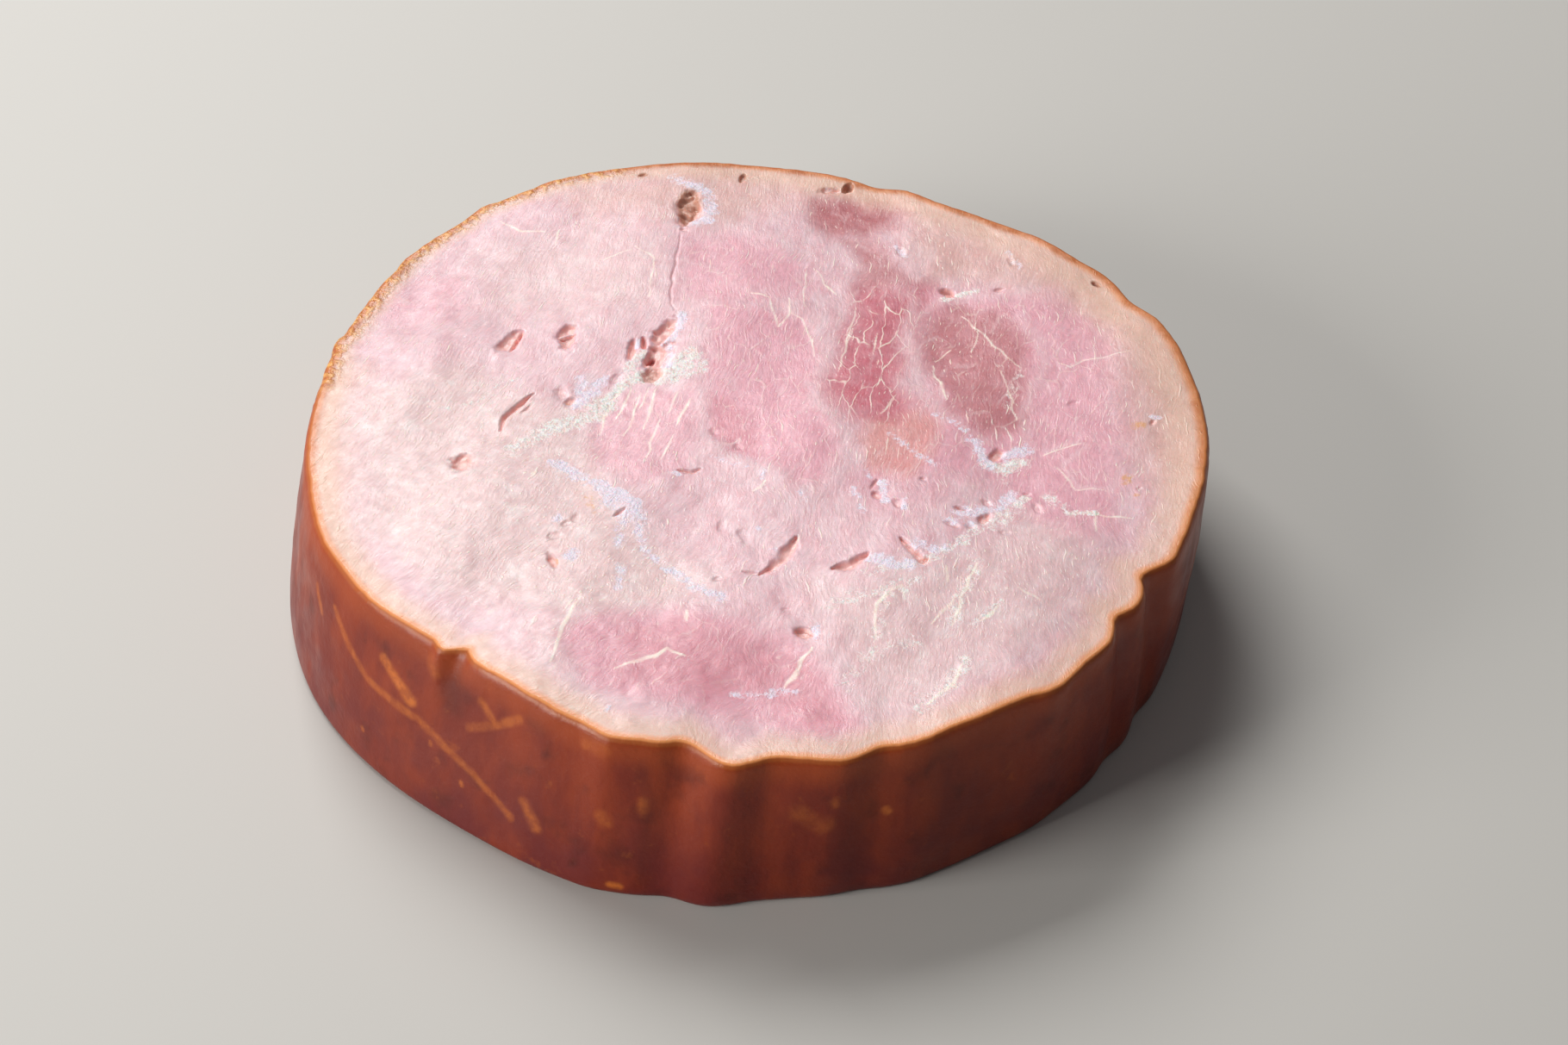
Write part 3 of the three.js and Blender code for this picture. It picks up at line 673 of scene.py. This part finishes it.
def shape_slice(nominal, rows):
    """Turns the drum's points into the slice's, in mm, and works out the masks of its colours."""
    share = np.hypot(nominal[:, 0], nominal[:, 1])
    angle = np.arctan2(nominal[:, 1], nominal[:, 0]) % (2 * math.pi)
    row = nominal[:, 2]
    over, under = ends(row, rows)
    wall = ~over & ~under
    out, height = wall_profile(rows)
    z = np.interp(row, np.arange(rows + 1), height)
    up = z / THICKNESS
    radius = rind_radius(angle, up)
    degrees = np.degrees(angle)
    arc = angle * RIND_RADIUS
    first, last = BEADED_RIM
    beaded = step_up(first - BEAD_FADE, first, degrees) * step_up(last + BEAD_FADE, last, degrees)
    rough = 0.2 * lumps(arc, z, 8.0, 41) + 0.08 * lumps(arc, z, 3.0, 42)
    rough += (0.1 + 0.16 * beaded) * lumps(arc, 0 * z, 1.3, 43) * up ** 8
    radius = radius + np.interp(row, np.arange(rows + 1), out) + rough * step_up(0.0, 0.15, up)
    inward = np.where(wall, 0, (1 - share) * radius)
    radius = np.where(wall, radius, share * radius)
    x, y = radius * np.cos(angle), radius * np.sin(angle)

    masks = {name: np.where(over, tint(x, y, name), 0) for name in COLOUR_MASKS}
    masks["fat"] = np.where(over, band(x, y, FAT_SEAMS, 51, 1.0), 0)
    masks["film"] = np.where(over, band(x, y, FILMS, 54, 1.0), 0)
    masks["skin"] = np.where(over, band(x, y, SKINS, 57, 1.0), 0)
    masks["thread"] = np.where(over, threads(x, y), 0)
    masks["pit"] = np.where(over, pit_depth(x, y), 0)
    masks["rim"] = inward / smooth_ring(RIM_BANDS, angle)
    ragged = inward + 0.5 * lumps(arc, 0 * z, 2.4, 44)
    masks["brown_rim"] = smooth_ring(RIM_BROWNS, angle) * step_up(1.8, 0.3, ragged)
    near_rim = np.where(wall, step_up(THICKNESS - 3.5, THICKNESS - 1, z), step_up(3.0, 0.8, inward))
    masks["bead"] = np.where(under, 0, beaded * near_rim)
    masks["streak"] = np.where(wall, band(arc, z, on_rind(RIND_STREAKS), 61, 0.4), 0)
    masks["stain_and_shade"] = np.where(wall, band(arc, z, on_rind(RIND_STAINS_AND_SHADE), 64, 0.4), 0)
    masks["height"] = z

    grain = 0.08 * lumps(x, y, 4.0, 71) + 0.05 * lumps(x, y, 1.8, 72)
    crumbly = masks["fat"] * (0.03 + 0.1 * lumps(x, y, 1.1, 73))
    crumbly = crumbly + 0.03 * masks["skin"] + 0.015 * masks["thread"]
    sunk = 0.15 * masks["deep"] + 0.12 * masks["rose"] + 0.12 * masks["dusty"]
    face = z + (grain + crumbly - sunk) * step_up(0.0, 2.5, inward) - masks["pit"]
    face = face + 0.12 * masks["bead"] * lumps(x, y, 0.9, 75)
    floor = np.abs(grain) * step_up(2.0, 6.0, inward)
    z = np.where(over, face, np.where(under, floor, z)) + face_wave(x, y) * step_up(WAVE_FROM, 1.0, up)
    x = x + LEAN[0] * (1 - up)
    y = y + LEAN[1] * (1 - up)
    return np.stack([x, y, z], 1), masks


# Node helpers

class Shade:
    """Adds nodes to a material, taking numbers, colours or other nodes' outputs as inputs."""

    def __init__(self, name):
        self.material = bpy.data.materials.new(name)
        self.material.use_nodes = True
        self.tree = self.material.node_tree
        self.shader = self.tree.nodes["Principled BSDF"]
        coordinates = self.tree.nodes.new("ShaderNodeTexCoord")
        self.place = self.vector("MULTIPLY", coordinates.outputs["Object"], (1000,) * 3)

    def feed(self, socket, value):
        if isinstance(value, bpy.types.NodeSocket):
            self.tree.links.new(value, socket)
        else:
            socket.default_value = value

    def node(self, kind, output, inputs, **settings):
        node = self.tree.nodes.new(kind)
        for name, value in settings.items():
            setattr(node, name, value)
        for name, value in inputs.items():
            self.feed(node.inputs[name], value)
        return node.outputs[output]

    def axis(self, name):
        """The X, Y or Z of a point of the object, in mm."""
        return self.node("ShaderNodeSeparateXYZ", name, {0: self.place})

    def mask(self, name):
        return self.node("ShaderNodeAttribute", "Fac", {}, attribute_name=name)

    def math(self, operation, a, b=0.0):
        return self.node("ShaderNodeMath", "Value", {0: a, 1: b}, operation=operation)

    def vector(self, operation, a, b):
        return self.node("ShaderNodeVectorMath", "Vector", {0: a, 1: b}, operation=operation)

    def times(self, a, b):
        return self.math("MULTIPLY", a, b)

    def plus(self, a, b):
        return self.math("ADD", a, b)

    def range(self, value, low, high, to_low=0.0, to_high=1.0):
        inputs = {"Value": value, "From Min": low, "From Max": high, "To Min": to_low, "To Max": to_high}
        return self.node("ShaderNodeMapRange", "Result", inputs, interpolation_type="SMOOTHSTEP")

    def blend(self, amount, under, over):
        node = self.tree.nodes.new("ShaderNodeMix")
        node.data_type = "RGBA"
        self.feed(node.inputs[0], amount)
        self.feed(node.inputs[6], under)
        self.feed(node.inputs[7], over)
        return node.outputs[2]

    def noise(self, size, detail=2.0, roughness=0.5, vector=None):
        """Noise with lumps about size mm apart, from 0 to 1."""
        inputs = {"Vector": vector or self.place, "Scale": 1 / size, "Detail": detail, "Roughness": roughness}
        return self.node("ShaderNodeTexNoise", "Fac", inputs)

    def crumble(self, mask, size, strength):
        """A mask that thins out into soft crumbs of about size mm at its sides."""
        crumbs = self.range(self.noise(size, 4.0, 0.7), 0.25, 0.75, -0.6, 0.5)
        broken = self.plus(mask, self.times(crumbs, self.range(mask, 0.0, 0.3)))
        return self.range(broken, 0.1, 0.9, 0.0, strength)


def linear(red, green, blue):
    """A shader colour from the 0 to 255 values of a picture."""
    parts = [value / 255 for value in (red, green, blue)]
    return tuple(p / 12.92 if p <= 0.04045 else ((p + 0.055) / 1.055) ** 2.4 for p in parts) + (1.0,)


# Materials

MEAT = linear(225, 181, 189)
MEAT_LIGHT = linear(229, 195, 202)
ROSE = linear(227, 163, 178)
DEEP_ROSE = linear(206, 116, 130)
DUSTY = linear(192, 121, 126)
SALMON = linear(224, 150, 144)
PALE = linear(229, 199, 198)
TAN = linear(219, 176, 160)
CREAM = linear(253, 250, 247)
FAT_GAP = linear(244, 220, 216)
FILM = linear(241, 233, 247)
SKIN = linear(238, 208, 212)
# Pale colour of the threads, also laid as painted highlights for the strokes and glints
THREAD_AND_GLINT = linear(255, 242, 228)
# Pit colours: a light salmon that partly stands in for light shining through the meat into the pits (painted
# light), and a darker red for painted shade where they are deepest
PIT = linear(252, 194, 186)
PIT_SHADE = linear(208, 106, 104)
BROWN = linear(184, 130, 104)
AMBER = linear(226, 166, 104)
RIM_CREAM = linear(230, 193, 170)
RIM_PEACH = linear(238, 158, 98)
RIM_BROWN = linear(180, 98, 46)
GOLD = linear(240, 182, 100)
RIND = linear(126, 42, 24)
RIND_WARM = linear(146, 54, 22)
RIND_PLUM = linear(108, 34, 34)
RIND_DARK = linear(76, 20, 12)
RIND_EDGE = linear(166, 70, 26)
RIND_FAT = linear(206, 112, 44)

# Strokes along the fibres: spacing across and along in mm, thinness, share of them kept, place of the pattern
# The long strokes are partly pale fibre ends and partly painted highlights where light catches them; the glints
# are painted highlights
LONG_STROKES = ((1.6, 20.0, 0.1, 0.5, 3.1), (1.2, 9.0, 0.11, 0.5, 7.7), (0.8, 4.0, 0.13, 0.4, 12.3))
GLINTS = (0.9, 2.0, 0.17, 0.6, 20.9)

# Fine lines grow clearer from the front backwards: the Y in mm and the shares where that starts and ends
CLEARING = (-62.0, -22.0, 0.35, 1.0)


def fibre_place(shade):
    """Coordinates that lean with the meat's fibres: upright on the right, sloping on the left."""
    x, y = shade.axis("X"), shade.axis("Y")
    lean = shade.range(x, -60.0, 20.0, 0.55, 0.06)
    across = shade.math("SUBTRACT", x, shade.times(y, lean))
    bend = shade.range(shade.noise(9.0, 1.0), 0.0, 1.0, -1.6, 1.6)
    wobble = shade.range(shade.noise(1.6, 1.0), 0.0, 1.0, -0.2, 0.2)
    inputs = {"X": shade.plus(across, shade.plus(bend, wobble)), "Y": y, "Z": 0.0}
    return shade.node("ShaderNodeCombineXYZ", "Vector", inputs)


def strokes(shade, place, across, along, thin, keep, offset):
    """Separate strokes along the fibres: spacing across and along in mm, thinness, share of them kept."""
    stretched = shade.vector("MULTIPLY", place, (1 / across, 1 / along, 0))
    cells = shade.tree.nodes.new("ShaderNodeTexVoronoi")
    cells.voronoi_dimensions = "2D"
    cells.inputs["Scale"].default_value = 1.0
    shade.feed(cells.inputs["Vector"], shade.vector("ADD", stretched, (offset, 1.7 * offset, 0)))
    parts = shade.tree.nodes.new("ShaderNodeSeparateColor")
    shade.feed(parts.inputs[0], cells.outputs["Color"])
    chosen = shade.range(parts.outputs[0], 1 - keep, 1 - 0.6 * keep)
    return shade.times(shade.range(cells.outputs["Distance"], thin, 0.4 * thin), chosen)


def net(shade, place, across, along, thin):
    """Thin lines between bundles of fibres, spaced across and along in mm."""
    drift = shade.range(shade.noise(6.0), 0.2, 0.8, 0.0, 0.35)
    vector = shade.vector("ADD", shade.vector("MULTIPLY", place, (1 / across, 1 / along, 0)), drift)
    kind = {"voronoi_dimensions": "2D", "feature": "DISTANCE_TO_EDGE"}
    edge = shade.node("ShaderNodeTexVoronoi", "Distance", {"Vector": vector, "Scale": 1.0}, **kind)
    return shade.range(edge, thin, 0.2 * thin)


def rim_beads(shade):
    """Small golden beads of fat along part of the rim, from 0 to 1; their gold is partly painted glints."""
    return shade.times(shade.mask("bead"), shade.range(shade.noise(1.3, 3.0), 0.4, 0.66))


def muscle_colour(shade, place, grain):
    """Colour of the bundles of muscle, streaked along the fibres."""
    streaky = shade.noise(1.0, 3.0, 0.6, shade.vector("MULTIPLY", place, (1 / 3.0, 1 / 9.0, 0)))
    colour = shade.blend(shade.range(streaky, 0.35, 0.65), MEAT, MEAT_LIGHT)
    mottle = shade.range(shade.noise(3.0, 4.0, 0.65), 0.3, 0.7, 0.85, 1.08)
    tints = {"tan": TAN, "pale": PALE, "rose": ROSE, "dusty": DUSTY, "salmon": SALMON, "deep": DEEP_ROSE}
    for name, tint in tints.items():
        colour = shade.blend(shade.times(shade.mask(name), mottle), colour, tint)
    marbling = shade.range(shade.noise(5.0, 5.0, 0.62), 0.48, 0.7, 0.0, 0.35)
    colour = shade.blend(shade.times(marbling, shade.plus(shade.mask("pale"), 0.08)), colour, CREAM)
    return shade.vector("MULTIPLY", colour, shade.range(grain, 0.3, 0.72, 0.91, 1.08))


def crazing(shade, place):
    """Fine pale lines between the fibres of the darker muscles, from 0 to 1."""
    lines = net(shade, place, 2.8, 9.0, 0.05)
    where = shade.math("MAXIMUM", shade.mask("deep"), shade.times(shade.mask("rose"), 0.4))
    return shade.times(lines, shade.times(where, shade.range(shade.noise(4.0, 2.0), 0.36, 0.55)))


def rim_colour(shade, colour):
    """Lays the rim's warm band, the thin peach or brown line at its edge and the beads over a colour."""
    rim = shade.plus(shade.mask("rim"), shade.range(shade.noise(3.0, 3.0), 0.2, 0.8, -0.12, 0.12))
    colour = shade.blend(shade.range(rim, 1.5, 0.4, 0.0, 0.7), colour, RIM_CREAM)
    colour = shade.blend(shade.range(shade.mask("rim"), 0.32, 0.04, 0.0, 0.8), colour, RIM_PEACH)
    patchy = shade.range(shade.noise(2.4, 3.0), 0.35, 0.65, 0.5, 0.95)
    colour = shade.blend(shade.times(shade.mask("brown_rim"), patchy), colour, RIM_BROWN)
    # The beads' golden fat, partly painted glints on them
    return shade.blend(shade.times(rim_beads(shade), 0.7), colour, GOLD)


def meat_material():
    shade = Shade("cured_meat")
    place = fibre_place(shade)
    grain = shade.noise(1.0, 4.0, 0.65, shade.vector("MULTIPLY", place, (1 / 0.55, 1 / 2.4, 0)))
    colour = muscle_colour(shade, place, grain)

    clear = shade.range(shade.axis("Y"), *CLEARING)
    busy = shade.range(shade.noise(11.0, 2.0), 0.38, 0.6, 0.25, 1.0)
    # Pale strokes along the fibres, partly painted highlights, and the pale crazing lines between fibres
    marks = 0.0
    for stroke in LONG_STROKES:
        marks = shade.math("MAXIMUM", strokes(shade, place, *stroke), marks)
    marks = shade.times(clear, shade.math("MAXIMUM", shade.times(marks, busy), crazing(shade, place)))
    # Painted glints, strongest over the pale muscles on the left, where the sheen of the back light falls
    where = shade.plus(shade.times(shade.mask("pale"), 0.6), 0.3)
    glints = shade.times(clear, shade.times(strokes(shade, place, *GLINTS), where))
    colour = shade.blend(shade.times(shade.mask("skin"), 0.5), colour, SKIN)
    lines = shade.times(net(shade, place, 5.0, 14.0, 0.06), shade.range(shade.noise(5.0, 2.0), 0.45, 0.6))
    colour = shade.blend(shade.times(lines, shade.times(clear, 0.25)), colour, SKIN)
    # Lays the strokes and glints in the thread colour: painted highlights, in part over pale fibre ends
    colour = shade.blend(shade.times(shade.math("MAXIMUM", marks, glints), 0.75), colour, THREAD_AND_GLINT)

    fat = shade.crumble(shade.mask("fat"), 1.5, 0.95)
    film = shade.crumble(shade.mask("film"), 1.4, 0.75)
    crumbs = shade.range(shade.noise(0.9, 4.0, 0.65), 0.35, 0.58)
    colour = shade.blend(fat, colour, shade.blend(crumbs, FAT_GAP, CREAM))
    colour = shade.blend(film, colour, FILM)
    colour = shade.blend(shade.times(shade.mask("thread"), 0.9), colour, THREAD_AND_GLINT)
    colour = shade.blend(shade.crumble(shade.mask("amber"), 1.0, 0.7), colour, AMBER)
    colour = rim_colour(shade, colour)

    # Pits: light salmon, partly painted light shining through the meat, and darker red where deepest as painted
    # shade
    pit = shade.mask("pit")
    colour = shade.blend(shade.range(pit, 0.06, 0.5, 0.0, 0.8), colour, PIT)
    colour = shade.blend(shade.range(pit, 0.9, 1.5, 0.0, 0.8), colour, PIT_SHADE)
    colour = shade.blend(shade.times(film, shade.range(pit, 0.2, 1.0, 0.7, 0.4)), colour, FILM)
    # Brown in some pits, and painted shadow on the lower slope of the middle pit cluster
    colour = shade.blend(shade.times(shade.mask("brown"), 0.75), colour, BROWN)
    shade.feed(shade.shader.inputs["Base Color"], colour)

    relief = shade.plus(shade.times(grain, 0.07), shade.times(shade.noise(1.8, 4.0, 0.6, place), 0.06))
    relief = shade.plus(relief, shade.times(shade.math("MAXIMUM", marks, glints), 0.04))
    grainy = shade.range(shade.noise(0.9, 4.0, 0.65), 0.2, 0.8, -0.12, 0.12)
    relief = shade.plus(relief, shade.times(shade.math("MAXIMUM", fat, film), grainy))
    relief = shade.plus(relief, shade.times(rim_beads(shade), 0.16))
    bump = {"Height": relief, "Strength": 1.0, "Distance": 0.001}
    shade.feed(shade.shader.inputs["Normal"], shade.node("ShaderNodeBump", "Normal", bump))
    gloss = shade.range(shade.noise(1.8, 3.0), 0.3, 0.7, 0.24, 0.4)
    shade.feed(shade.shader.inputs["Roughness"], gloss)
    shade.shader.inputs["IOR"].default_value = 1.42
    shade.shader.inputs["Subsurface Weight"].default_value = 0.5
    shade.shader.inputs["Subsurface Radius"].default_value = (1.0, 0.45, 0.35)
    shade.shader.inputs["Subsurface Scale"].default_value = 0.002
    return shade.material


def rind_material():
    shade = Shade("smoked_rind")
    upright = shade.vector("MULTIPLY", shade.place, (1 / 6.0, 1 / 6.0, 1 / 16.0))
    colour = shade.blend(shade.range(shade.noise(1.0, 3.0, 0.55, upright), 0.35, 0.65), RIND, RIND_WARM)
    height = shade.mask("height")
    plum = shade.range(shade.noise(9.0, 2.0), 0.35, 0.65, 0.2, 0.8)
    plum = shade.times(shade.range(height, 20.0, 4.0), plum)
    colour = shade.blend(plum, colour, RIND_PLUM)
    colour = shade.blend(shade.range(shade.noise(7.0, 3.0), 0.55, 0.75, 0.0, 0.45), colour, RIND_DARK)
    blotch = shade.range(shade.noise(3.6, 3.0, 0.6), 0.62, 0.78, 0.0, 0.2)
    colour = shade.blend(blotch, colour, RIND_FAT)
    uneven = shade.range(shade.noise(1.8, 3.0, 0.6), 0.35, 0.65, 0.45, 0.9)
    colour = shade.blend(shade.times(shade.mask("streak"), uneven), colour, RIND_FAT)
    # Darker marks, and painted shade under the nick at about 228 degrees
    colour = shade.blend(shade.mask("stain_and_shade"), colour, RIND_DARK)
    colour = shade.blend(shade.range(height, THICKNESS - 6.0, THICKNESS - 1.6, 0.0, 0.7), colour, RIND_EDGE)
    colour = shade.blend(shade.range(height, THICKNESS - 0.9, THICKNESS - 0.35, 0.0, 0.7), colour, RIM_BROWN)
    edge = shade.blend(shade.times(shade.mask("brown_rim"), 0.85), RIM_PEACH, RIM_BROWN)
    colour = shade.blend(shade.range(height, THICKNESS - 0.3, THICKNESS - 0.03, 0.0, 0.85), colour, edge)
    # The beads' golden fat, partly painted glints on them
    colour = shade.blend(shade.times(rim_beads(shade), 0.7), colour, GOLD)
    shade.feed(shade.shader.inputs["Base Color"], colour)
    relief = shade.times(shade.noise(2.6, 3.0, 0.55), 0.16)
    relief = shade.plus(relief, shade.times(shade.noise(0.6, 2.0), 0.02))
    relief = shade.plus(relief, shade.times(rim_beads(shade), 0.16))
    bump = {"Height": relief, "Strength": 1.0, "Distance": 0.001}
    shade.feed(shade.shader.inputs["Normal"], shade.node("ShaderNodeBump", "Normal", bump))
    shade.feed(shade.shader.inputs["Roughness"], shade.range(shade.noise(5.0, 3.0), 0.3, 0.7, 0.32, 0.46))
    shade.shader.inputs["IOR"].default_value = 1.4
    shade.shader.inputs["Subsurface Weight"].default_value = 0.1
    shade.shader.inputs["Subsurface Radius"].default_value = (1.0, 0.3, 0.1)
    shade.shader.inputs["Subsurface Scale"].default_value = 0.001
    return shade.material


# Pieces

def centre_on_cad(points):
    """Sets the points where the CAD solid stands, and returns them with the shift in mm."""
    low, high = points.min(0), points.max(0)
    shift = np.array([-(low[0] + high[0]) / 2, -(low[1] + high[1]) / 2, -low[2]])
    return points + shift, shift


def make_ham():
    bm, rows = nominal_slice()
    refine(bm, rows)
    mesh = bpy.data.meshes.new("ham_slice")
    bm.to_mesh(mesh)
    bm.free()
    nominal = np.empty(len(mesh.vertices) * 3)
    mesh.vertices.foreach_get("co", nominal)
    nominal = nominal.reshape(-1, 3)
    points, masks = shape_slice(nominal, rows)
    points, shift = centre_on_cad(points)
    mesh.vertices.foreach_set("co", (points * MM).ravel())
    for name, values in masks.items():
        layer = mesh.attributes.new(name, "FLOAT", "POINT")
        layer.data.foreach_set("value", values.astype(np.float32))
    mesh.materials.append(meat_material())
    mesh.materials.append(rind_material())
    over, under = ends(nominal[:, 2], rows)
    cut = over | under
    for polygon in mesh.polygons:
        polygon.material_index = 0 if cut[list(polygon.vertices)].all() else 1
        polygon.use_smooth = True
    mesh.update()
    ham = bpy.data.objects.new("ham_slice", mesh)
    bpy.context.scene.collection.objects.link(ham)
    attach(ham, "root")
    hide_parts("smoked_ham")
    return shift


# Stage: a plain pale floor, soft light from the back and the left, and the camera of the photograph

FLOOR_COLOUR = (0.56, 0.55, 0.52, 1.0)
FLOOR_HALF = 3.0

# The camera's elevation in degrees, its lens, and its distance and target in mm
CAMERA_ELEVATION = 43.0
CAMERA_LENS = 75.0
CAMERA_DISTANCE = 532.0
CAMERA_TARGET = (4.3, -22.0, 30.0)

# Square lights: name, azimuth from +X towards +Y, elevation, distance and side in m, power, colour
LIGHTS = (
    ("window", 116, 46, 1.4, 0.78, 17.6, (1.0, 0.985, 0.97)),
    ("side", 204, 22, 1.2, 0.55, 11.0, (1.0, 0.98, 0.95)),
)
WORLD_COLOUR = (0.98, 0.95, 0.97, 1.0)
WORLD_STRENGTH = 0.13


def floor_material():
    shade = Shade("pale_floor")
    shade.shader.inputs["Base Color"].default_value = FLOOR_COLOUR
    shade.shader.inputs["Roughness"].default_value = 0.6
    return shade.material


def make_floor():
    mesh = bpy.data.meshes.new("floor")
    far = FLOOR_HALF
    mesh.from_pydata([(-far, -far, 0), (far, -far, 0), (far, far, 0), (-far, far, 0)], [], [(0, 1, 2, 3)])
    mesh.materials.append(floor_material())
    floor = bpy.data.objects.new("floor", mesh)
    bpy.context.scene.collection.objects.link(floor)


def make_camera(shift):
    camera = bpy.data.objects.new("camera", bpy.data.cameras.new("camera"))
    bpy.context.scene.collection.objects.link(camera)
    camera.data.sensor_width = 36.0
    camera.data.lens = CAMERA_LENS
    camera.data.clip_start = 0.01
    elevation = math.radians(CAMERA_ELEVATION)
    target = np.array(CAMERA_TARGET) + shift
    place = target + CAMERA_DISTANCE * np.array([0, -math.cos(elevation), math.sin(elevation)])
    camera.location = place * MM
    camera.rotation_euler = (math.pi / 2 - elevation, 0, 0)
    bpy.context.scene.camera = camera


def make_light(name, azimuth, elevation, distance, side, power, colour):
    """A square area light that faces the slice."""
    light = bpy.data.lights.new(name, "AREA")
    light.shape = "SQUARE"
    light.size = side
    light.energy = power
    light.color = colour
    lamp = bpy.data.objects.new(name, light)
    bpy.context.scene.collection.objects.link(lamp)
    a, e = math.radians(azimuth), math.radians(elevation)
    towards = (math.cos(e) * math.cos(a), math.cos(e) * math.sin(a), math.sin(e))
    lamp.location = [distance * part for part in towards]
    lamp.rotation_euler = (math.pi / 2 - e, 0, a + math.pi / 2)


def make_world():
    world = bpy.data.worlds.new("world")
    bpy.context.scene.world = world
    world.use_nodes = True
    background = world.node_tree.nodes["Background"]
    background.inputs["Color"].default_value = WORLD_COLOUR
    background.inputs["Strength"].default_value = WORLD_STRENGTH


def main():
    shift = make_ham()
    make_floor()
    make_camera(shift)
    for light in LIGHTS:
        make_light(*light)
    make_world()
    scene = bpy.context.scene
    scene.view_settings.view_transform = "Standard"
    scene.view_settings.look = "None"


main()
